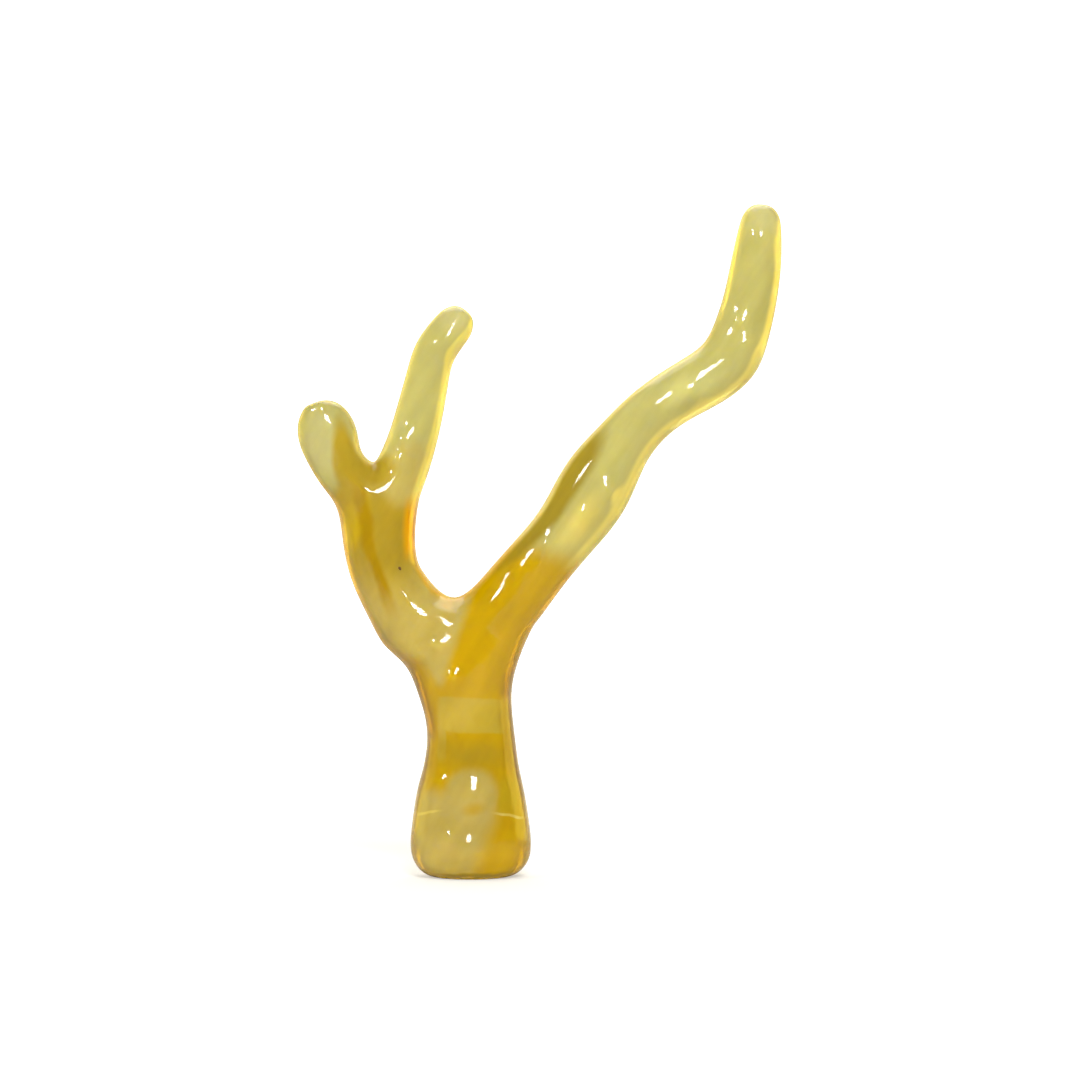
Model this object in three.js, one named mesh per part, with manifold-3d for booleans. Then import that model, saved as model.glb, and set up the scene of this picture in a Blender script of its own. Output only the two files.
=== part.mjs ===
// Staghorn coral branch ornament: one smooth, see-through piece, ground flat under its foot.
// Units are millimetres, +Z is up, and the origin is the centre of the flat foot face.
// The branching solid is swept limb by limb, joined, and then sawn apart at its main forks.
import * as THREE from "three";
import { mergeVertices } from "three/addons/utils/BufferGeometryUtils.js";
import Module from "manifold-3d";

const wasm = await Module();
wasm.setup();

// Driving dimensions
const SAW_CUT = 0.3; // gap left between two pieces at a fork
const SAW_REACH = 40; // depth of a saw blade front to back, well past the thickest limb
const LIMB_SIDES = 28; // flats round a limb
const LIMB_STEP = 1.7; // length of one flat along a limb
const TIP_RINGS = 6; // rings that round off a tip
const BLUNTNESS = 0.92; // length of a rounded tip as a share of the limb's half-width there

// Stations along each limb: [x, y, z, half-width, half-depth].
// The limbs lie close to the XZ plane, and y carries their slight lean to the back or the front.
const STEM_AND_RIGHT_LIMB = [
  [0.0, 0.0, 0.0, 6.2, 6.0],
  [0.0, 0.0, 0.8, 7.6, 7.3],
  [0.0, 0.0, 2.5, 8.8, 8.4],
  [0.0, 0.0, 5.0, 9.05, 8.6],
  [0.0, 0.0, 9.5, 8.5, 8.0],
  [0.1, 0.0, 14.0, 7.6, 7.2],
  [0.1, 0.0, 18.5, 6.75, 6.5],
  [-0.3, 0.0, 23.2, 6.5, 6.3],
  [-0.6, 0.0, 27.5, 6.9, 6.5],
  [0.6, 0.0, 32.5, 6.6, 6.6],
  [3.6, 0.0, 38.0, 5.7, 6.0],
  [8.3, -0.3, 44.4, 5.0, 5.4],
  [13.1, -0.9, 49.9, 4.8, 5.0],
  [17.2, -1.4, 55.6, 5.4, 5.0],
  [19.8, -1.6, 60.2, 5.2, 4.8],
  [23.5, -1.5, 65.4, 4.2, 4.3],
  [30.6, -0.8, 71.5, 4.1, 4.1],
  [36.2, -0.2, 74.7, 4.5, 4.1],
  [39.6, 0.3, 78.5, 4.2, 4.0],
  [41.2, 0.8, 84.2, 3.95, 3.9],
  [42.4, 1.2, 90.8, 3.8, 3.7],
  [43.0, 1.3, 97.0, 3.1, 3.1],
];
const LEFT_LIMB_AND_PRONG = [
  [-1.4, 0.0, 28.0, 6.2, 6.0],
  [-3.6, 0.1, 32.4, 6.0, 6.2],
  [-7.3, 0.3, 36.7, 5.7, 6.0],
  [-10.4, 0.5, 41.1, 5.45, 5.6],
  [-12.8, 0.6, 45.6, 5.15, 5.3],
  [-13.7, 0.7, 49.9, 5.4, 5.2],
  [-12.9, 0.9, 54.4, 5.3, 5.0],
  [-11.4, 1.3, 58.4, 4.7, 4.5],
  [-9.3, 1.7, 63.0, 3.85, 3.9],
  [-7.7, 2.0, 68.0, 3.6, 3.6],
  [-6.2, 2.2, 74.0, 3.2, 3.3],
  [-4.7, 2.3, 78.3, 3.1, 3.1],
  [-2.4, 2.3, 81.6, 2.95, 2.9],
];
const SHORT_LOBE = [
  [-13.8, 0.7, 50.6, 5.2, 5.0],
  [-15.6, 0.4, 54.4, 4.1, 4.5],
  [-17.5, -0.1, 57.6, 3.4, 4.1],
  [-19.2, -0.6, 60.6, 3.9, 3.9],
  [-20.6, -1.0, 63.4, 4.3, 3.9],
  [-21.4, -1.2, 66.6, 4.3, 3.8],
];
// Each crotch is a rounded saddle: a web that hangs from one limb to the other.
const MAIN_CROTCH_WEB = [
  [-12.6, 0.6, 45.2, 4.9, 5.0],
  [-9.4, 0.4, 39.6, 5.3, 5.3],
  [-2.4, 0.1, 35.7, 5.4, 5.6],
  [5.0, -0.1, 40.4, 5.2, 5.4],
  [10.6, -0.6, 47.0, 4.8, 5.0],
];
const SMALL_CROTCH_WEB = [
  [-19.6, -0.8, 60.4, 3.4, 3.6],
  [-17.2, -0.2, 58.3, 3.3, 3.8],
  [-14.6, 0.4, 57.5, 3.4, 4.0],
  [-12.0, 1.0, 58.4, 3.1, 3.9],
  [-9.8, 1.5, 60.8, 2.8, 3.7],
];

// Saw cuts: each blade starts in the open just above a crotch and runs out through the limb.
// A blade's angle is counted from +X towards +Z.
const MAIN_CROTCH = { x: -2.6, z: 41.6 };
const SMALL_CROTCH = { x: -14.5, z: 61.8 };
const SAWS = [
  { from: MAIN_CROTCH, degrees: 216, length: 20 },
  { from: MAIN_CROTCH, degrees: 318, length: 22 },
  { from: SMALL_CROTCH, degrees: 208, length: 14 },
  { from: SMALL_CROTCH, degrees: 332, length: 14 },
];

// A point near the middle of each piece, by which the sawn pieces are told apart, and its colour.
const PIECES = [
  { name: "trunk", near: [0, 0, 18], colour: 0xc8961e },
  { name: "left_limb", near: [-12, 0, 47], colour: 0xc2a238 },
  { name: "short_lobe", near: [-20, 0, 64], colour: 0xd6ce96 },
  { name: "tall_prong", near: [-7, 2, 71], colour: 0xd2c47a },
  { name: "right_limb", near: [24, 0, 70], colour: 0xd8c860 },
];

// A three.js geometry as a manifold-3d solid.
function solidFrom(geometry) {
  const bare = geometry.clone();
  bare.deleteAttribute("normal");
  bare.deleteAttribute("uv");
  const merged = mergeVertices(bare, 1e-4);
  return new wasm.Manifold(
    new wasm.Mesh({
      numProp: 3,
      vertProperties: merged.attributes.position.array,
      triVerts: new Uint32Array(merged.index.array),
    }),
  );
}

// A manifold-3d solid as a three.js geometry.
function geometryFrom(solid) {
  const mesh = solid.getMesh();
  const geometry = new THREE.BufferGeometry();
  geometry.setAttribute("position", new THREE.BufferAttribute(mesh.vertProperties, 3));
  geometry.setIndex(new THREE.BufferAttribute(mesh.triVerts, 1));
  geometry.computeVertexNormals();
  return geometry;
}

function centreLine(stations) {
  return new THREE.CatmullRomCurve3(stations.map(([x, y, z]) => new THREE.Vector3(x, y, z)));
}

// Moves each point of a straight unit rod on to the limb: the rod's length follows the centre
// line, and its round section is stretched to the limb's width and depth.
function bendAlong(rod, rodLength, stations) {
  const centres = centreLine(stations);
  const sections = new THREE.CatmullRomCurve3(
    stations.map(([, , , halfWidth, halfDepth]) => new THREE.Vector3(halfWidth, halfDepth, 0)),
  );
  const back = new THREE.Vector3(0, 1, 0);
  const points = rod.attributes.position;
  for (let i = 0; i < points.count; i++) {
    const along = points.getY(i) / rodLength + 0.5;
    const t = THREE.MathUtils.clamp(along, 0, 1);
    const pastEnd = (along - t) * rodLength;
    const size = sections.getPoint(t);
    const ahead = centres.getTangent(t);
    const across = new THREE.Vector3().crossVectors(back, ahead).normalize();
    const deep = new THREE.Vector3().crossVectors(across, ahead);
    const p = centres.getPoint(t);
    p.addScaledVector(across, points.getX(i) * size.x);
    p.addScaledVector(deep, points.getZ(i) * size.y);
    p.addScaledVector(ahead, pastEnd * size.x * BLUNTNESS);
    points.setXYZ(i, p.x, p.y, p.z);
  }
  return solidFrom(rod);
}

// A limb with both ends rounded off.
function roundEndedLimb(stations) {
  const steps = Math.round(centreLine(stations).getLength() / LIMB_STEP);
  return bendAlong(new THREE.CapsuleGeometry(1, steps, TIP_RINGS, LIMB_SIDES, steps), steps, stations);
}

// The stem runs on into the right limb. Its lower end is the foot: everything of the rounded end
// below z = 0 is ground away, which leaves the flat face.
function stemAndRightLimb() {
  const groundAway = new THREE.BoxGeometry(SAW_REACH, SAW_REACH, SAW_REACH);
  groundAway.translate(0, 0, -SAW_REACH / 2);
  return roundEndedLimb(STEM_AND_RIGHT_LIMB).subtract(solidFrom(groundAway));
}

function sawBlade({ from, degrees, length }) {
  const blade = new THREE.BoxGeometry(length, SAW_REACH, SAW_CUT);
  blade.translate(length / 2, 0, 0);
  blade.rotateY(-THREE.MathUtils.degToRad(degrees));
  blade.translate(from.x, 0, from.z);
  return solidFrom(blade);
}

function coral() {
  return [LEFT_LIMB_AND_PRONG, SHORT_LOBE, MAIN_CROTCH_WEB, SMALL_CROTCH_WEB].reduce(
    (whole, stations) => whole.add(roundEndedLimb(stations)),
    stemAndRightLimb(),
  );
}

function sawnPieces() {
  return SAWS.reduce((rest, saw) => rest.subtract(sawBlade(saw)), coral()).decompose();
}

function middleOf(solid) {
  const box = solid.boundingBox();
  return new THREE.Vector3(...box.min).add(new THREE.Vector3(...box.max)).multiplyScalar(0.5);
}

function nearestPiece(pieces, near) {
  const target = new THREE.Vector3(...near);
  const gap = (solid) => middleOf(solid).distanceTo(target);
  return pieces.reduce((best, solid) => (gap(solid) < gap(best) ? solid : best));
}

function glassy(colour) {
  return new THREE.MeshStandardMaterial({ color: colour, roughness: 0.08, metalness: 0 });
}

const ornament = new THREE.Group();
const pieces = sawnPieces();
for (const { name, near, colour } of PIECES) {
  const mesh = new THREE.Mesh(geometryFrom(nearestPiece(pieces, near)), glassy(colour));
  mesh.name = name;
  ornament.add(mesh);
}

export default ornament;
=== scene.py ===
# %% [markdown]
# # A staghorn coral branch in milky amber glass
# The ornament is one smooth, see-through piece. A thick stem stands on a flared foot that is
# ground flat, and forks into two limbs. The left limb forks once more, into a short lobe and a
# tall prong. The CAD frame gives every place and size; this lesson makes the looks.

import math

import bmesh
import bpy
from mathutils import Matrix, Vector, noise


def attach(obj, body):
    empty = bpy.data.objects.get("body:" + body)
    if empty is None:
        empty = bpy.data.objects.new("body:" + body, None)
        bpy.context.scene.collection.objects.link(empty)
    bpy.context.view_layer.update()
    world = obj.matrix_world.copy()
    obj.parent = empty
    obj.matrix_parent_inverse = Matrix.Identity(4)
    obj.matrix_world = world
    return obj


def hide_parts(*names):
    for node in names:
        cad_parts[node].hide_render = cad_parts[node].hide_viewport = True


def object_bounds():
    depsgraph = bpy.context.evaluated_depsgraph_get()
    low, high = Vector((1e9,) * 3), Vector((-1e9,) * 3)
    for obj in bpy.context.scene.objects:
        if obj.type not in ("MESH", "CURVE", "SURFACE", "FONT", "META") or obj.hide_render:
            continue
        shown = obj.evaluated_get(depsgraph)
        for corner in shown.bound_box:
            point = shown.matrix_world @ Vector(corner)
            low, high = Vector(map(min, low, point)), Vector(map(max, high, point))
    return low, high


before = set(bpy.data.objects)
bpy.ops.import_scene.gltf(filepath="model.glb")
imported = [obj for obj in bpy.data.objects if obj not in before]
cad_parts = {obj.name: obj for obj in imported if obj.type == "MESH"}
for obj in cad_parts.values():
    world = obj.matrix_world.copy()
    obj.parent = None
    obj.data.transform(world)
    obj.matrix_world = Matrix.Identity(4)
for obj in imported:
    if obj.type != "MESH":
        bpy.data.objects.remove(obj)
cad_low, cad_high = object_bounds()
height = cad_high.z - cad_low.z
print("CAD nodes:", sorted(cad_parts))
print(f"height of the ornament: {height * 1000:.1f} mm")

# %% [markdown]
# ## Camera
# The ornament is seen straight from the front, with the eye level with its middle. A wide lens
# close by would swell the limb that leans nearest to it, so a long lens stands well back.

# %% Camera
FRAME_SHARE = 0.623  # share of the view's height that the ornament fills
LENS_MM = 120
SENSOR_MM = 36

middle = (cad_low + cad_high) / 2
view_height = height / FRAME_SHARE
camera_distance = view_height * LENS_MM / SENSOR_MM
camera_data = bpy.data.cameras.new("camera")
camera_data.lens = LENS_MM
camera_data.sensor_width = SENSOR_MM
camera_data.clip_start = 0.01
camera = bpy.data.objects.new("camera", camera_data)
camera.location = (middle.x, -camera_distance, middle.z)
camera.rotation_euler = (math.pi / 2, 0, 0)
bpy.context.scene.collection.objects.link(camera)
bpy.context.scene.camera = camera
print(f"camera {camera_distance * 1000:.0f} mm in front of the stem")

# %% [markdown]
# ## Stage
# The ornament stands on a pale sheet that curves up behind it. A floor and a wall would leave a
# line between them that shows through the glass, so the sheet is grown from one edge: forward to
# back, round a quarter turn, and up.

# %% Helpers for objects
def add_mesh(name, bm):
    """Makes an object of a bmesh, at the origin, with its place in its mesh."""
    mesh = bpy.data.meshes.new(name)
    bm.to_mesh(mesh)
    bm.free()
    piece = bpy.data.objects.new(name, mesh)
    bpy.context.scene.collection.objects.link(piece)
    return piece


def shade_smooth(piece):
    for face in piece.data.polygons:
        face.use_smooth = True


def corners_in(geometry):
    return [part for part in geometry if isinstance(part, bmesh.types.BMVert)]


def edges_in(geometry):
    return [part for part in geometry if isinstance(part, bmesh.types.BMEdge)]


def grow(bm, edges, step):
    """Extrudes a row of edges by one step and returns the new row."""
    grown = bmesh.ops.extrude_edge_only(bm, edges=edges)["geom"]
    corners = corners_in(grown)
    bmesh.ops.translate(bm, vec=step, verts=corners)
    return [edge for edge in edges_in(grown) if all(corner in corners for corner in edge.verts)]


# %% Stage
STAGE_HALF_WIDTH = 0.7
STAGE_FRONT = -1.5
STAGE_BEND = 0.9  # how far behind the ornament the sheet starts to rise
STAGE_RADIUS = 0.4
STAGE_BEND_STEPS = 24
STAGE_TOP = 1.6

bm = bmesh.new()
front_corners = [bm.verts.new((side * STAGE_HALF_WIDTH, STAGE_FRONT, 0)) for side in (-1, 1)]
front_edge = bm.edges.new(front_corners)
floor_end = grow(bm, [front_edge], (0, STAGE_BEND - STAGE_FRONT, 0))
bend_end = bmesh.ops.spin(
    bm,
    geom=floor_end,
    cent=(0, STAGE_BEND, STAGE_RADIUS),
    axis=(1, 0, 0),
    angle=math.pi / 2,
    steps=STAGE_BEND_STEPS,
    use_merge=False,
)["geom_last"]
grow(bm, edges_in(bend_end), (0, 0, STAGE_TOP - STAGE_RADIUS))
bmesh.ops.recalc_face_normals(bm, faces=bm.faces)
stage = add_mesh("pale_sheet", bm)
shade_smooth(stage)
print("stage faces:", len(stage.data.polygons))

# %% [markdown]
# The sheet is thin paper with light behind it. Milky glass takes its colour from what is behind
# it, so the sheet glows behind the ornament and not in front. A plain white glow would turn the
# glass grey, so a Light Path node shows one sheet to the eye, plain white, and another to the
# glass, warm white.

# %% Paper
paper = bpy.data.materials.new("pale_paper")
paper.use_nodes = True
paper_tree = paper.node_tree
paper_shader = paper_tree.nodes["Principled BSDF"]
paper_shader.inputs["Base Color"].default_value = (0.5, 0.5, 0.495, 1)
paper_shader.inputs["Roughness"].default_value = 0.9
paper_shader.inputs["Specular IOR Level"].default_value = 0.1
LIT_FROM = -0.1  # metres behind the ornament; the glow starts just in front of it
LIT_FULLY = 0.6
LIT_STRENGTH = 0.8
paper_place = paper_tree.nodes.new("ShaderNodeTexCoord")
paper_axes = paper_tree.nodes.new("ShaderNodeSeparateXYZ")
paper_glow = paper_tree.nodes.new("ShaderNodeMapRange")
paper_glow.interpolation_type = "SMOOTHSTEP"
paper_glow.inputs["From Min"].default_value = LIT_FROM
paper_glow.inputs["From Max"].default_value = LIT_FULLY
paper_glow.inputs["To Max"].default_value = LIT_STRENGTH
paper_tree.links.new(paper_place.outputs["Object"], paper_axes.inputs["Vector"])
paper_tree.links.new(paper_axes.outputs["Y"], paper_glow.inputs["Value"])
PAPER_WHITE = 0.4  # glow that only the eye sees, on top of the other
WARM_WHITE = (1.0, 0.93, 0.70, 1)
WHITE = (1, 1, 1, 1)
# Sockets of a Mix node that mixes colours
MIX_SHARE = 0
MIX_UNDER = 6
MIX_OVER = 7
MIXED = 2


def tint_by_path(tree, path):
    """A colour that is white to the eye and warm white to the glass."""
    tint = tree.nodes.new("ShaderNodeMix")
    tint.data_type = "RGBA"
    tree.links.new(path.outputs["Is Camera Ray"], tint.inputs[MIX_SHARE])
    tint.inputs[MIX_UNDER].default_value = WARM_WHITE
    tint.inputs[MIX_OVER].default_value = WHITE
    return tint.outputs[MIXED]


paper_path = paper_tree.nodes.new("ShaderNodeLightPath")
paper_tree.links.new(tint_by_path(paper_tree, paper_path), paper_shader.inputs["Emission Color"])
paper_sum = paper_tree.nodes.new("ShaderNodeMath")
paper_sum.operation = "MULTIPLY_ADD"
paper_tree.links.new(paper_path.outputs["Is Camera Ray"], paper_sum.inputs[0])
paper_sum.inputs[1].default_value = PAPER_WHITE
paper_tree.links.new(paper_glow.outputs["Result"], paper_sum.inputs[2])
paper_tree.links.new(paper_sum.outputs["Value"], paper_shader.inputs["Emission Strength"])
stage.data.materials.append(paper)
print("paper nodes:", len(paper_tree.nodes))

# %% [markdown]
# ## Lights
# Glossy glass shows its lights as highlights. The small pairs of bright marks come from two
# windows, so two small soft lights stand in front, high up to the right and to the left. A large
# panel fills in from above and behind. One big light in front would be simpler, but it would
# wash the gold out.

# %% Lights
def soft_light(name, azimuth, elevation, distance, width, depth, power, colour=(1, 1, 1)):
    """A sheet of light that faces the ornament; azimuth 0 is the camera's side, + is right."""
    data = bpy.data.lights.new(name, "AREA")
    data.shape = "RECTANGLE"
    data.size = width
    data.size_y = depth
    data.energy = power
    data.color = colour
    lamp = bpy.data.objects.new(name, data)
    turn = math.radians(azimuth)
    lift = math.radians(elevation)
    away = Vector((math.sin(turn) * math.cos(lift), -math.cos(turn) * math.cos(lift), math.sin(lift)))
    lamp.location = middle + away * distance
    lamp.rotation_euler = away.to_track_quat("Z", "Y").to_euler()
    bpy.context.scene.collection.objects.link(lamp)


soft_light("right_window", azimuth=8, elevation=32, distance=0.75, width=0.20, depth=0.20, power=5.2)
soft_light("left_window", azimuth=-48, elevation=30, distance=0.75, width=0.11, depth=0.11, power=1.7)
soft_light("overhead_panel", azimuth=180, elevation=65, distance=1.0, width=1.0, depth=0.8, power=6)
# Two gold reflectors stand to the sides, a little behind, and warm the edges of the limbs.
GOLD_LIGHT = (1.0, 0.80, 0.12)
REFLECTORS = (
    ("right_reflector", 112, 0, 1.3),
    ("left_reflector", -112, 8, 0.9),
)
for name, azimuth, elevation, power in REFLECTORS:
    soft_light(name, azimuth, elevation, 0.5, 0.35, 0.35, power, colour=GOLD_LIGHT)

# %% [markdown]
# The room is bright behind the ornament and dim on the camera's side, for the same reason as the
# sheet. Straight ahead it is simply white, from whichever side the ornament is looked at.

# %% Room
FRONT_GLOW = 0.25  # brightness of the room on the camera's side, as the glass sees it
BACK_GLOW = 1.1
BACK_FROM = 0.45  # where the bright back starts: 0 is straight to the side, 1 straight behind
BACK_FULLY = 0.9

world = bpy.data.worlds.new("white_room")
world.use_nodes = True
sky = world.node_tree
sky_direction = sky.nodes.new("ShaderNodeTexCoord")
sky_axes = sky.nodes.new("ShaderNodeSeparateXYZ")
sky_glow = sky.nodes.new("ShaderNodeMapRange")
sky_glow.interpolation_type = "SMOOTHSTEP"
sky_glow.inputs["From Min"].default_value = BACK_FROM
sky_glow.inputs["From Max"].default_value = BACK_FULLY
sky_glow.inputs["To Min"].default_value = FRONT_GLOW
sky_glow.inputs["To Max"].default_value = BACK_GLOW
sky.links.new(sky_direction.outputs["Generated"], sky_axes.inputs["Vector"])
sky.links.new(sky_axes.outputs["Y"], sky_glow.inputs["Value"])
sky_path = sky.nodes.new("ShaderNodeLightPath")
sky_choice = sky.nodes.new("ShaderNodeMix")
sky.links.new(sky_path.outputs["Is Camera Ray"], sky_choice.inputs["Factor"])
sky.links.new(sky_glow.outputs["Result"], sky_choice.inputs["A"])
sky_choice.inputs["B"].default_value = 1.0
sky.links.new(sky_choice.outputs["Result"], sky.nodes["Background"].inputs["Strength"])
sky.links.new(tint_by_path(sky, sky_path), sky.nodes["Background"].inputs["Color"])
bpy.context.scene.world = world
bpy.context.scene.view_settings.view_transform = "Standard"
print(f"room glow: {FRONT_GLOW} in front, {BACK_GLOW} behind")

# %% [markdown]
# ## The branch
# A glass worker draws such a branch out of one hot gather, so it has no seam anywhere. It is
# modelled the same way: one eight-sided ring is pulled up ring by ring, and where the branch
# forks, the open end is split across the middle and each half is pulled on by itself. A
# subdivision surface then rounds the cage, and the split becomes a soft saddle.
# Each ring is a station: across, back, up, half-width and half-depth, in hundredths of the
# ornament's height, counted from the middle of the foot.

# %% Stations
UNIT = height / 100
RING_SIDES = 8
# A subdivided ring shrinks inside its cage, so the cage is drawn larger by this much.
SWELL = 3 / (2 + math.cos(math.tau / RING_SIDES))

STEM = [
    (0.0, 0.0, 0.0, 5.7, 5.6),
    (0.0, 0.0, 0.7, 7.5, 7.1),
    (0.0, 0.0, 2.9, 9.0, 7.8),
    (0.0, 0.0, 6.0, 9.0, 7.75),
    (0.0, 0.0, 9.5, 8.5, 7.5),
    (0.0, 0.0, 13.0, 8.0, 7.5),
    (0.1, 0.0, 16.4, 7.0, 6.8),
    (0.1, 0.0, 20.4, 6.5, 6.4),
    (-0.3, 0.0, 24.5, 6.4, 6.3),
    (-1.0, 0.0, 28.6, 7.15, 6.5),
    (-0.9, 0.0, 32.6, 8.55, 6.6),
    (-1.9, 0.0, 35.8, 11.3, 6.2),
]
RIGHT_LIMB = [
    (6.5, -0.2, 42.0, 5.3, 5.4),
    (10.3, -0.6, 46.8, 4.9, 5.1),
    (14.2, -1.1, 51.3, 4.85, 5.0),
    (17.3, -1.4, 55.8, 5.55, 5.0),
    (19.8, -1.6, 60.2, 5.35, 4.8),
    (22.6, -1.5, 64.4, 4.3, 4.4),
    (26.3, -1.2, 68.6, 4.1, 4.1),
    (30.8, -0.8, 71.7, 4.15, 4.1),
    (35.6, -0.2, 74.2, 4.35, 4.2),
    (38.9, 0.1, 77.0, 4.6, 4.0),
    (40.3, 0.4, 80.9, 4.25, 3.7),
    (41.6, 0.6, 85.5, 4.0, 3.8),
    (42.5, 0.8, 91.0, 3.85, 3.9),
    (43.1, 0.9, 96.55, 3.2, 3.5),
]
LEFT_LIMB = [
    (-10.8, 0.5, 41.1, 5.5, 5.6),
    (-13.0, 0.6, 45.3, 5.25, 5.3),
    (-13.8, 0.7, 49.9, 5.4, 5.2),
    (-13.7, 0.5, 55.6, 5.9, 4.8),
]
SHORT_LOBE = [
    (-19.2, -0.5, 60.3, 3.9, 3.9),
    (-20.6, -0.95, 63.6, 4.3, 3.9),
    (-21.3, -1.2, 65.9, 4.5, 3.8),
]
TALL_PRONG = [
    (-10.2, 1.4, 60.6, 4.0, 3.8),
    (-8.7, 1.5, 64.8, 3.65, 3.6),
    (-7.5, 1.6, 69.5, 3.5, 3.45),
    (-6.4, 1.7, 74.5, 3.2, 3.35),
    (-5.6, 1.7, 78.2, 3.15, 3.35),
    (-2.75, 1.7, 81.7, 3.05, 3.1),
]
MAIN_SADDLE = (-2.5, 0.0, 39.8)  # lowest point of the crotch between the two limbs
SMALL_SADDLE = (-14.5, 0.4, 61.7)
SHOULDER = 0.75  # where a saddle turns down, as a share of the way from the rim to its top
print("stations:", sum(map(len, (STEM, RIGHT_LIMB, LEFT_LIMB, SHORT_LOBE, TALL_PRONG))))

# %% Rings
def place_of(station):
    return Vector(station[:3]) * UNIT


def ring_frames(stations, comes_from=None, heads_for=None):
    """A matrix for each station, which lays a unit circle across the limb there."""
    places = [place_of(station) for station in stations]
    before = [comes_from or places[0]] + places[:-1]
    after = places[1:] + [heads_for or places[-1]]
    frames = []
    for (_, _, _, half_width, half_depth), here, low, high in zip(stations, places, before, after):
        ahead = (high - low).normalized()
        across = Vector((0, 1, 0)).cross(ahead).normalized()
        back = ahead.cross(across)
        turn = Matrix((across, back, ahead)).transposed().to_4x4()
        size = Matrix.Diagonal((half_width * UNIT * SWELL, half_depth * UNIT * SWELL, UNIT, 1))
        frames.append(Matrix.Translation(here) @ turn @ size)
    return frames


def pull(bm, end, frame_before, frame_after):
    """Extrudes the open end and moves the new ring from one frame to the next."""
    end = bmesh.ops.extrude_discrete_faces(bm, faces=[end])["faces"][0]
    move = frame_after @ frame_before.inverted()
    bmesh.ops.transform(bm, matrix=move, verts=end.verts)
    return end


def front_corner(end):
    return min(end.verts, key=lambda v: v.co.y)


def back_corner(end):
    return max(end.verts, key=lambda v: v.co.y)


def pull_half(bm, half, frame_after):
    """Extrudes one half of a split end and rounds the new ring off into a circle."""
    end = bmesh.ops.extrude_discrete_faces(bm, faces=[half])["faces"][0]
    first = front_corner(end)
    loop = next(corner for corner in end.loops if corner.vert == first)
    for side in range(RING_SIDES):
        angle = math.tau * side / RING_SIDES
        loop.vert.co = frame_after @ Vector((math.sin(angle), -math.cos(angle), 0))
        loop = loop.link_loop_next
    return end


def split(bm, end, saddle):
    """Cuts an open end in two from front to back, over a saddle, and returns (left, right)."""
    front = front_corner(end)
    back = back_corner(end)
    top = Vector(saddle) * UNIT
    shoulders = [front.co.lerp(top, SHOULDER), top, back.co.lerp(top, SHOULDER)]
    shoulders[0].z = shoulders[2].z = top.z - (1 - SHOULDER) * (top.z - front.co.z)
    other, _ = bmesh.utils.face_split(end, front, back, coords=shoulders)
    return sorted((end, other), key=lambda face: face.calc_center_median().x)


def pull_along(bm, end, frames):
    for low, high in zip(frames, frames[1:]):
        end = pull(bm, end, low, high)
    return end


# Rings that round a tip off: (length ahead, ring size), as shares of the last ring's size
TIP_ROUNDS = ((0.52, 0.88), (0.90, 0.62), (1.07, 0.28))


def round_tip(bm, end, last_frame, half_width):
    """Closes a limb with a few more rings that get smaller."""
    low = last_frame
    for ahead, size in TIP_ROUNDS:
        lift = Matrix.Translation((0, 0, ahead * half_width))
        high = last_frame @ lift @ Matrix.Diagonal((size, size, 1, 1))
        end = pull(bm, end, low, high)
        low = high


# %% Pull the branch
bm = bmesh.new()
stem_top = place_of(STEM[-1])
above_stem = (place_of(LEFT_LIMB[0]) + place_of(RIGHT_LIMB[0])) / 2
stem_frames = ring_frames(STEM, heads_for=above_stem)
bmesh.ops.create_circle(bm, cap_ends=True, segments=RING_SIDES, radius=1, matrix=stem_frames[0])
end = pull_along(bm, bm.faces[:][0], stem_frames)
left_half, right_half = split(bm, end, MAIN_SADDLE)

right_frames = ring_frames(RIGHT_LIMB, comes_from=stem_top)
end = pull_half(bm, right_half, right_frames[0])
end = pull_along(bm, end, right_frames)
round_tip(bm, end, right_frames[-1], RIGHT_LIMB[-1][3])

left_top = place_of(LEFT_LIMB[-1])
above_left = (place_of(SHORT_LOBE[0]) + place_of(TALL_PRONG[0])) / 2
left_frames = ring_frames(LEFT_LIMB, comes_from=stem_top, heads_for=above_left)
end = pull_half(bm, left_half, left_frames[0])
end = pull_along(bm, end, left_frames)
lobe_half, prong_half = split(bm, end, SMALL_SADDLE)
for half, stations in ((lobe_half, SHORT_LOBE), (prong_half, TALL_PRONG)):
    frames = ring_frames(stations, comes_from=left_top)
    end = pull_half(bm, half, frames[0])
    end = pull_along(bm, end, frames)
    round_tip(bm, end, frames[-1], stations[-1][3])

GROUND_INSET = 1.2 * UNIT
rim = [edge for edge in bm.edges if len(edge.link_faces) == 1]
foot_face = bmesh.ops.holes_fill(bm, edges=rim, sides=0)["faces"]
bmesh.ops.inset_region(bm, faces=foot_face, thickness=GROUND_INSET, depth=0)
bmesh.ops.recalc_face_normals(bm, faces=bm.faces)
coral = add_mesh("staghorn_coral", bm)
shade_smooth(coral)
print("cage faces:", len(coral.data.polygons))

# %% [markdown]
# The cage is rounded by a subdivision surface, which is applied at once, because the next step
# moves the finished skin.

# %% Round the cage
ROUNDING_LEVELS = 3


def apply_modifiers(piece):
    """Keeps the shape that the modifiers make as the piece's own mesh."""
    depsgraph = bpy.context.evaluated_depsgraph_get()
    rounded = bpy.data.meshes.new_from_object(piece.evaluated_get(depsgraph))
    piece.modifiers.clear()
    piece.data = rounded


rounding = coral.modifiers.new("rounding", "SUBSURF")
rounding.levels = ROUNDING_LEVELS
rounding.render_levels = ROUNDING_LEVELS
apply_modifiers(coral)
shade_smooth(coral)
print("smooth faces:", len(coral.data.polygons))
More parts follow.
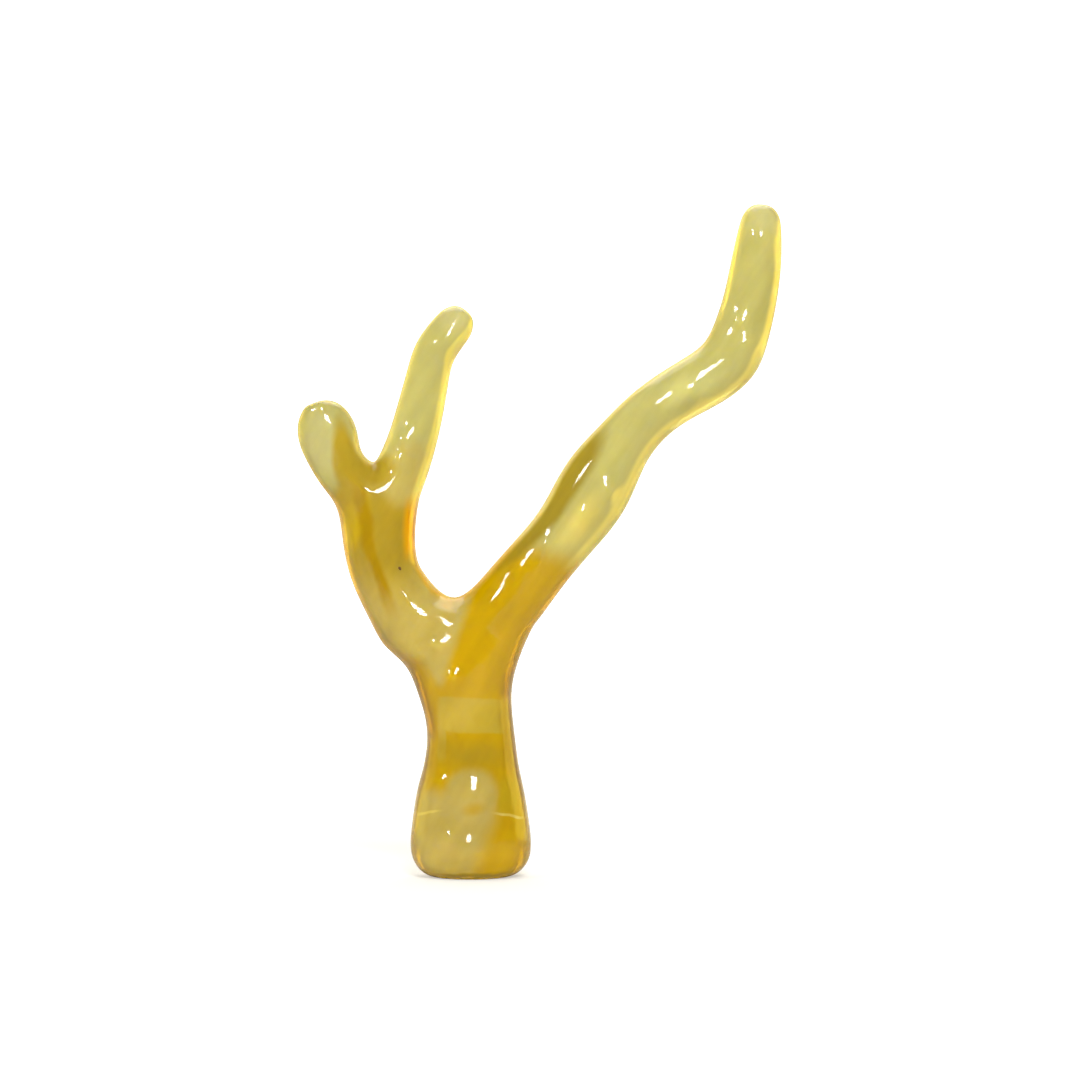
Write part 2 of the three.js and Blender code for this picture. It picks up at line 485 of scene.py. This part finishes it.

# %% [markdown]
# ## The uneven skin
# Hand-drawn glass is never quite even. Its skin swells and sinks gently where it was pinched,
# and every swelling gathers a small highlight of its own. A noise alone would scatter the
# highlights anywhere, so each swelling is raised out of the front of the finished surface by
# itself: it has a place, a reach and a lift. A slow noise makes the rest of the skin uneven.

# %% Swellings
# (across, up, reach, lift), all in hundredths of the height.
# The ridge and the one hollow were placed one by one. The other 25 were worked out by a
# separate program, so that the skin faces halfway between the eye and a window at chosen spots,
# and ten of those were changed by hand afterwards.
SWELLINGS = [
    # foot
    (-5.2, 14.3, 1.8, 0.63),
    (0.5, 12.1, 2.5, 0.56),
    (-3.0, 6.0, 1.5, 0.56),
    (-0.3, 4.6, 2.1, 0.76),
    # fork
    (-6.8, 42.6, 1.0, 0.55),
    (-4.0, 39.1, 1.2, 0.80),
    (-4.7, 34.6, 1.1, 0.85),
    (-7.7, 33.2, 1.2, 0.85),
    (-2.5, 29.9, 1.1, 0.85),
    # right limb, from the fork to its tip
    (6.2, 44.6, 0.9, -0.30),
    (8.4, 45.6, 1.5, 0.24),
    (11.5, 49.1, 1.1, 0.46),
    (16.4, 53.6, 1.3, 0.70),
    (20.2, 57.3, 1.5, 0.85),
    (27.3, 69.9, 1.9, 0.41),
    (32.6, 71.7, 1.7, 0.54),
    (41.1, 78.6, 2.2, 0.85),
    (40.0, 82.3, 1.3, 0.39),
    (43.0, 94.5, 2.4, 0.58),
    (41.0, 96.8, 1.2, 0.23),
    # tall prong, from its tip downwards
    (-2.8, 79.9, 1.6, 0.50),
    (-4.6, 78.7, 1.5, 0.44),
    (-10.0, 64.7, 1.8, 0.73),
    (-10.9, 62.0, 1.3, 0.69),
    # ridge under the small crotch
    (-10.6, 61.2, 1.1, 0.22),
    (-11.4, 59.4, 1.1, 0.25),
    (-12.9, 58.1, 1.1, 0.25),
    (-14.6, 57.4, 1.1, 0.25),
    (-16.7, 58.4, 1.1, 0.25),
    (-18.8, 59.4, 1.1, 0.25),
    # short lobe
    (-24.1, 69.4, 1.1, 0.77),
    (-22.2, 70.0, 1.2, 0.85),
]
SKIN_UNEVEN = 0.08 * UNIT
SKIN_SCALE = 75.0  # waves of the slow noise per metre
SKIN_STARTS = 1  # height above the ground where the unevenness begins, in hundredths

bm = bmesh.new()
bm.from_mesh(coral.data)
bm.normal_update()
lifts = {}
for vert in bm.verts:
    frontness = max(-vert.normal.y, 0)
    lift = 0
    for across, up, reach, height_of in SWELLINGS:
        gap = math.hypot(vert.co.x / UNIT - across, vert.co.z / UNIT - up)
        lift += height_of * math.exp(-((gap / reach) ** 2)) * frontness
    above_ground = min(max(vert.co.z / UNIT - SKIN_STARTS, 0), 1)
    slow = noise.noise(vert.co * SKIN_SCALE)
    lifts[vert] = (lift * UNIT + slow * SKIN_UNEVEN) * above_ground
for vert, lift in lifts.items():
    vert.co += vert.normal * lift
deepest = min(lifts.values()) * 1000
highest = max(lifts.values()) * 1000
print(f"the skin moves by {deepest:.2f} to {highest:.2f} mm")
bm.to_mesh(coral.data)
bm.free()
shade_smooth(coral)

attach(coral, "root")
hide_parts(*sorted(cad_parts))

# %% [markdown]
# ## Milky amber glass
# The glass is golden where it is thick and pale at the tips, with milky veils that were folded
# in while it was hot. One shader makes it: part of the light passes through and bends, part is
# scattered by the milk just under the skin, and an amber absorption deepens with thickness.
# Clear glass with milk modelled inside it would take far longer to render and look much the
# same. These helpers keep the node tree readable: each adds one node, or a small group.

# %% Helpers for the glass
glass = bpy.data.materials.new("milky_amber_glass")
glass.use_nodes = True
nodes = glass.node_tree.nodes
links = glass.node_tree.links
shader = nodes["Principled BSDF"]


def add_node(kind, **inputs):
    """Adds a node and sets or links its named inputs."""
    made = nodes.new(kind)
    for name, value in inputs.items():
        socket = made.inputs[name.replace("_", " ")]
        if isinstance(value, bpy.types.NodeSocket):
            links.new(value, socket)
        else:
            socket.default_value = value
    return made


def math_node(operation, first, second):
    made = nodes.new("ShaderNodeMath")
    made.operation = operation
    for socket, value in zip(made.inputs, (first, second)):
        if isinstance(value, bpy.types.NodeSocket):
            links.new(value, socket)
        else:
            socket.default_value = value
    return made.outputs["Value"]


def smooth_step(value, low, high):
    """0 below low, 1 above high, and a soft ramp between."""
    made = add_node("ShaderNodeMapRange", Value=value, From_Min=low, From_Max=high)
    made.interpolation_type = "SMOOTHSTEP"
    return made.outputs["Result"]


def mix_colours(share, under, over):
    made = nodes.new("ShaderNodeMix")
    made.data_type = "RGBA"
    for index, value in ((MIX_SHARE, share), (MIX_UNDER, under), (MIX_OVER, over)):
        socket = made.inputs[index]
        if isinstance(value, bpy.types.NodeSocket):
            links.new(value, socket)
        else:
            socket.default_value = value
    return made.outputs[MIXED]


# %% [markdown]
# The veils and stripes could be painted on a flat map, but then they would smear round the
# sides. Each one is a soft ellipsoid or bar placed in the solid piece instead, with its edge
# pushed about by a noise, so that it looks folded in. Two waverings are enough: a drifting one
# for the broad veils and a steadier one for what has a clearer edge.

# %% Where things are in the glass
place = add_node("ShaderNodeTexCoord").outputs["Object"]


def wavering(scale, reach):
    """Object coordinates that a slow noise pushes about, so that no edge of a veil is straight."""
    noise_node = add_node("ShaderNodeTexNoise", Vector=place, Scale=scale, Detail=3.0)
    centred = add_node("ShaderNodeVectorMath", Vector=noise_node.outputs["Color"])
    centred.operation = "SUBTRACT"
    centred.inputs[1].default_value = (0.5, 0.5, 0.5)
    pushed = add_node("ShaderNodeVectorMath")
    pushed.operation = "MULTIPLY_ADD"
    links.new(centred.outputs["Vector"], pushed.inputs[0])
    pushed.inputs[1].default_value = (reach, reach, reach)
    links.new(place, pushed.inputs[2])
    return pushed.outputs["Vector"]


drifting = wavering(scale=90, reach=3.0 * UNIT)
steady = wavering(scale=220, reach=0.9 * UNIT)
xyz = add_node("ShaderNodeSeparateXYZ", Vector=drifting)
place_axes = add_node("ShaderNodeSeparateXYZ", Vector=place)
skin = add_node("ShaderNodeSeparateXYZ", Vector=nodes.new("ShaderNodeTexCoord").outputs["Normal"])


def veil(centre, radii, lean=0, edge=0.6, where=drifting):
    """A soft ellipsoid: 1 in its middle and 0 outside. lean turns it clockwise, in degrees."""
    made = add_node("ShaderNodeMapping", Vector=where)
    made.vector_type = "TEXTURE"
    made.inputs["Location"].default_value = Vector(centre) * UNIT
    made.inputs["Rotation"].default_value = (0, math.radians(lean), 0)
    made.inputs["Scale"].default_value = Vector(radii) * UNIT
    ball = add_node("ShaderNodeTexGradient", Vector=made.outputs["Vector"])
    ball.gradient_type = "SPHERICAL"
    return smooth_step(ball.outputs["Fac"], 0, edge)


def slab(centre, half_sizes, lean=0, blur=0.3, where=steady):
    """A soft-edged bar, seen from the front: half_sizes are across and along it."""
    made = add_node("ShaderNodeMapping", Vector=where)
    made.vector_type = "TEXTURE"
    made.inputs["Location"].default_value = Vector((centre[0], 0, centre[1])) * UNIT
    made.inputs["Rotation"].default_value = (0, math.radians(lean), 0)
    made.inputs["Scale"].default_value = Vector((half_sizes[0], 1, half_sizes[1])) * UNIT
    axes = add_node("ShaderNodeSeparateXYZ", Vector=made.outputs["Vector"])
    sides = smooth_step(math_node("ABSOLUTE", axes.outputs["X"], 0), 1 + blur, 1 - blur)
    ends = smooth_step(math_node("ABSOLUTE", axes.outputs["Z"], 0), 1 + blur, 1 - blur)
    return math_node("MULTIPLY", sides, ends)


# %% [markdown]
# ## Veils, stripes, painted shade and glowing sides
# Real glass like this is gold at the foot and turns pale along the limbs, with milk in the fork
# and a dark stripe in the left limb. A painted reflection of a window lies on the stem, and painted
# shade darkens the side of the right limb that turns from the light and the glass just above the
# ground face. The colours are laid one over the other in a list, from the broad veils to the fine
# marks. Where a limb turns away from the eye there is no milk, so its sides are a clearer and
# stronger colour; they are also painted brighter, as a painted glow of the light that the glass
# passes at its edges.

# %% Colours of the glass
# These were fitted under this scene's lights, except ochre, the window reflection, honey and
# orange, which were given one by one. A separate program tuned these under this scene's lights,
# except ochre, window, honey and orange, which were set by hand. They suit this scene and aren't
# measured glass colours.
GOLD = (0.63, 0.42, 0.00, 1)
AMBER = (0.43, 0.28, 0.00, 1)
OLIVE = (0.45, 0.34, 0.04, 1)
# Painted shade: darkens the side of the right limb turned from the light, and just above the ground
# face.
SHADE_OLIVE = (0.39, 0.29, 0.02, 1)
MILK = (0.61, 0.51, 0.16, 1)
OCHRE = (0.51, 0.36, 0.02, 1)
THIN_MILK = (0.58, 0.43, 0.01, 1)
# Painted reflection of a window, laid on the front of the stem.
WINDOW_REFLECTION = (0.61, 0.48, 0.07, 1)
PALE = (0.57, 0.54, 0.21, 1)
CREAM = (0.85, 0.71, 0.20, 1)
FROST = (0.72, 0.71, 0.32, 1)
GREY = (0.61, 0.58, 0.28, 1)
HONEY = (0.92, 0.56, 0.00, 1)
TAWNY = (0.38, 0.21, 0.00, 1)
ORANGE = (0.86, 0.44, 0.00, 1)
LEMON = (0.97, 0.81, 0.23, 1)

# %% From gold to pale
PALE_FROM = 49.5 * UNIT
PALE_FULLY = 54.5 * UNIT
PALE_LEAN = 0.35  # the right limb turns pale lower down than the left, by this share of its reach

climb = math_node("ADD", xyz.outputs["Z"], math_node("MULTIPLY", xyz.outputs["X"], PALE_LEAN))
paleness = smooth_step(climb, PALE_FROM, PALE_FULLY)
colour = mix_colours(paleness, GOLD, PALE)
print("tints and ramp:", len(nodes), "nodes")

# %% Markings
front = smooth_step(xyz.outputs["Y"], 3 * UNIT, -1 * UNIT)  # 1 on the front half of a limb
MARKINGS = (
    (MILK, slab((-9.4, 40.0), (8.6, 9.4), 18, 0.10)),  # left half of the fork
    (OLIVE, veil((-13.4, -3, 50.4), (10, 16, 12), -8, 0.7)),  # left limb
    (GOLD, slab((-7.6, 28.2), (2.6, 3.6), -30, 0.45)),  # gold shoulder left of the stem
    (MILK, veil((-9.6, -2, 60.0), (4.2, 12, 6.5), 20, 0.5)),  # where the prong starts
    (PALE, veil((-21.0, -2, 60.2), (3.4, 12, 4.6), 0, 0.4)),  # below the lobe
    (THIN_MILK, veil((-17.0, -2, 53.0), (2.6, 12, 7.5), 6, 0.7)),  # left of the stripe
    (OCHRE, veil((-14.6, -2, 60.6), (4.6, 12, 3.6), 0, 0.6)),  # web of the small crotch
    (MILK, veil((0.2, -4, 12.6), (4.9, 14, 5.0), 0, 0.35, steady)),  # milk in the waist of the foot
    (MILK, slab((-4.4, 6.4), (6.6, 6.0), 20, 0.25)),  # lower left of the foot
    (THIN_MILK, slab((5.6, 12.4), (1.3, 2.6), 6, 0.35)),  # upper right of the foot
    (OCHRE, veil((0.6, -4, 10.6), (2.6, 12, 1.5), -8, 0.9, steady)),  # gold tongue between them
    (WINDOW_REFLECTION, slab((0.1, 24.2), (4.9, 2.5), 3, 0.10)),  # painted reflection of a window on the stem
    (WINDOW_REFLECTION, slab((-4.2, 20.4), (0.6, 2.6), 0, 0.3)),  # left leg of the painted reflection
    (OCHRE, veil((0.3, -4, 18.6), (8.0, 16, 3.2), 4, 0.9)),  # dark band under it
    (SHADE_OLIVE, veil((11.4, 0, 56.0), (3.9, 16, 16), 38, 0.32, steady)),  # painted shade on the side of the right limb turned from the light
    (CREAM, veil((16, -3, 52.5), (3.2, 12, 8), 38, 0.9)),  # milk of the right limb
    (FROST, veil((32.5, 0, 72.5), (2.8, 12, 9), 60, 0.9)),  # upper right limb
    (GREY, veil((-21.8, 0, 64.6), (3.3, 12, 6.0), -8, 0.4, steady)),  # core of the short lobe
    (GREY, veil((-2.0, -2, 82.6), (3.6, 12, 3.2), 30, 0.6)),  # clear tips
    (GREY, veil((43.4, -2, 98.0), (3.4, 12, 3.4), 0, 0.6)),
    (OCHRE, veil((-18.2, -3, 61.2), (2.3, 12, 8.4), -8, 0.5)),  # golden side of the lobe
    (AMBER, slab((-15.9, 54.8), (0.95, 3.4), -10, 0.6)),  # stripe of the left limb
    (AMBER, slab((-15.1, 50.6), (0.80, 2.6), -6, 0.6)),
    (AMBER, slab((-13.5, 45.0), (0.80, 4.8), -19, 0.6)),  # lower end of the stripe
    (CREAM, slab((-6.6, 9.7), (2.0, 0.17), -14, 0.6)),  # fine pale lines across the foot
    (CREAM, slab((6.0, 9.4), (2.2, 0.20), 12, 0.6)),
    (SHADE_OLIVE, slab((0, 0.6), (5.8, 0.45), 0, 0.4)),  # shade above the ground face
)
for tint, where in MARKINGS:
    colour = mix_colours(math_node("MULTIPLY", where, front), colour, tint)
print("markings:", len(MARKINGS))

# %% Clear sides with a painted glow
# sideways is 0 on the edge of a limb, as seen from the front, and 1 where it faces the front.
sideways = math_node("ABSOLUTE", skin.outputs["Y"], 0)
side_band = smooth_step(sideways, 0.60, 0.35)
wide_band = smooth_step(sideways, 0.82, 0.50)
on_stem = smooth_step(place_axes.outputs["Z"], 38 * UNIT, 28 * UNIT)
above_foot = smooth_step(place_axes.outputs["Z"], 11 * UNIT, 17 * UNIT)
stem_band = math_node("MULTIPLY", wide_band, math_node("MULTIPLY", on_stem, above_foot))
side_band = math_node("MAXIMUM", side_band, stem_band)
on_foot = smooth_step(place_axes.outputs["Z"], 15 * UNIT, 9 * UNIT)
golden_side = mix_colours(on_foot, mix_colours(on_stem, HONEY, TAWNY), GOLD)
clear_glowing_side = mix_colours(paleness, golden_side, LEMON)
SIDE_STRENGTH = 0.85
# Painted glow: the sides get a clearer colour and are also painted brighter, standing in for the light
# that the glass passes at its edges.
colour = mix_colours(math_node("MULTIPLY", side_band, SIDE_STRENGTH), colour, clear_glowing_side)
# On the pale limbs the side that looks right and down gets a painted glow of bright lemon further
# round.
rightward = math_node(
    "SUBTRACT",
    math_node("MULTIPLY", skin.outputs["X"], 0.87),
    math_node("MULTIPLY", skin.outputs["Z"], 0.5),
)
right_glow_band = math_node("MULTIPLY", smooth_step(rightward, 0.58, 0.74), paleness)
colour = mix_colours(right_glow_band, colour, LEMON)
# The inner side of the left limb has a band of clear orange that is painted bright, as a painted glow.
colour = mix_colours(slab((-8.7, 51.6), (1.0, 3.8), 2, 0.5), colour, ORANGE)
print("glass nodes with the clear sides:", len(nodes))

# %% [markdown]
# ## Streaks and gloss
# Drawn glass shimmers with fine streaks that follow the pull, and its polish isn't the same
# everywhere. Modelled grooves would be far too fine, so a stretched noise changes the tone, a
# second one the gloss, and a third ripples the skin by a few hundredths of a millimetre.

# %% Brushed streaks and gloss
NOISE_LOW = 0.25  # a noise seldom leaves this range
NOISE_HIGH = 0.75


def noise_between(low, high, scale, detail=3.0, stretch=(1, 1, 1), lean=0):
    """A noise that runs between two values, stretched along a leaning axis."""
    turned = add_node("ShaderNodeMapping", Vector=place)
    turned.vector_type = "TEXTURE"
    turned.inputs["Rotation"].default_value = (0, math.radians(lean), 0)
    turned.inputs["Scale"].default_value = stretch
    made = add_node("ShaderNodeTexNoise", Vector=turned.outputs["Vector"], Scale=scale, Detail=detail)
    ranged = add_node("ShaderNodeMapRange", Value=made.outputs["Fac"])
    ranged.inputs["From Min"].default_value = NOISE_LOW
    ranged.inputs["From Max"].default_value = NOISE_HIGH
    ranged.inputs["To Min"].default_value = low
    ranged.inputs["To Max"].default_value = high
    return ranged.outputs["Result"]


streaks = noise_between(0.90, 1.10, scale=420, stretch=(1, 1, 7), lean=32)
clouds = noise_between(0.95, 1.05, scale=160)
toned = add_node("ShaderNodeHueSaturation", Color=colour, Value=math_node("MULTIPLY", streaks, clouds))
links.new(toned.outputs["Color"], shader.inputs["Base Color"])
links.new(noise_between(0.03, 0.12, scale=260), shader.inputs["Roughness"])
RIPPLE_HEIGHT = 0.03e-3
ripples = noise_between(0, RIPPLE_HEIGHT, scale=420, detail=2.0)
ripple_bump = add_node("ShaderNodeBump", Height=ripples, Distance=1.0, Strength=1.0)
links.new(ripple_bump.outputs["Normal"], shader.inputs["Normal"])
print("glass nodes with streaks:", len(nodes))

# %% [markdown]
# ## Light in the glass
# Half of the light bends through the glass, and the rest is scattered under its skin, deepest
# for red and least for blue, which is what makes milky glass look warm. The absorption takes
# more blue out of the light the further it goes, so the thick stem is more golden than a tip.

# %% Light and depth
shader.inputs["IOR"].default_value = 1.5
shader.inputs["Specular IOR Level"].default_value = 0.25
shader.inputs["Transmission Weight"].default_value = 0.5
shader.inputs["Subsurface Weight"].default_value = 1.0
shader.inputs["Subsurface Scale"].default_value = 4 * UNIT
shader.inputs["Subsurface Radius"].default_value = (1, 0.8, 0.3)
depth = add_node("ShaderNodeVolumeAbsorption", Density=60.0)
depth.inputs["Color"].default_value = (0.95, 0.84, 0.10, 1)
links.new(depth.outputs["Volume"], nodes["Material Output"].inputs["Volume"])
coral.data.materials.append(glass)
print("glass nodes:", len(nodes))

# %% [markdown]
# ## The speck in the left limb
# A grain of dark dirt was caught in the skin of the left limb while the glass was hot. It could
# be a dot of colour, but a grain has thickness and a dull surface of its own. So it is a tiny
# uneven ball set into the skin, with its front just proud of it.

# %% Speck
SPECK_PLACE = Vector((-10.4, 0, 45.8)) * UNIT
SPECK_RADIUS = 0.27 * UNIT
SPECK_DEPTH = 0.10 * UNIT  # from the skin to the middle of the speck
SPECK_UNEVEN = 0.35
SPECK_LUMPS = 1.3  # scale of the noise that makes it uneven

front_skin = min(
    (vert.co for vert in coral.data.vertices if vert.co.y < 0),
    key=lambda co: (co.x - SPECK_PLACE.x) ** 2 + (co.z - SPECK_PLACE.z) ** 2,
)
bm = bmesh.new()
bmesh.ops.create_icosphere(bm, subdivisions=3, radius=SPECK_RADIUS)
for vert in bm.verts:
    vert.co *= 1 + SPECK_UNEVEN * noise.noise(vert.co.normalized() * SPECK_LUMPS)
speck_middle = (SPECK_PLACE.x, front_skin.y + SPECK_DEPTH, SPECK_PLACE.z)
bmesh.ops.translate(bm, vec=speck_middle, verts=bm.verts)
speck = add_mesh("dark_speck", bm)
shade_smooth(speck)
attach(speck, "root")

dirt = bpy.data.materials.new("dark_dirt")
dirt.use_nodes = True
dirt_tree = dirt.node_tree
dirt_place = dirt_tree.nodes.new("ShaderNodeTexCoord")
dirt_noise = dirt_tree.nodes.new("ShaderNodeTexNoise")
dirt_noise.inputs["Scale"].default_value = 6000
dirt_ramp = dirt_tree.nodes.new("ShaderNodeValToRGB")
dirt_ramp.color_ramp.elements[0].color = (0.035, 0.012, 0.0, 1)
dirt_ramp.color_ramp.elements[1].color = (0.12, 0.05, 0.005, 1)
dirt_tree.links.new(dirt_place.outputs["Object"], dirt_noise.inputs["Vector"])
dirt_tree.links.new(dirt_noise.outputs["Fac"], dirt_ramp.inputs["Fac"])
dirt_shader = dirt_tree.nodes["Principled BSDF"]
dirt_tree.links.new(dirt_ramp.outputs["Color"], dirt_shader.inputs["Base Color"])
dirt_shader.inputs["Roughness"].default_value = 0.8
speck.data.materials.append(dirt)
print(f"the middle of the speck is {SPECK_DEPTH * 1000:.2f} mm under the skin")

# %% [markdown]
# ## Sizes
# The visual is meant to stay inside the CAD's box. This cell brings the scene up to date.

# %% Sizes
bpy.context.view_layer.update()
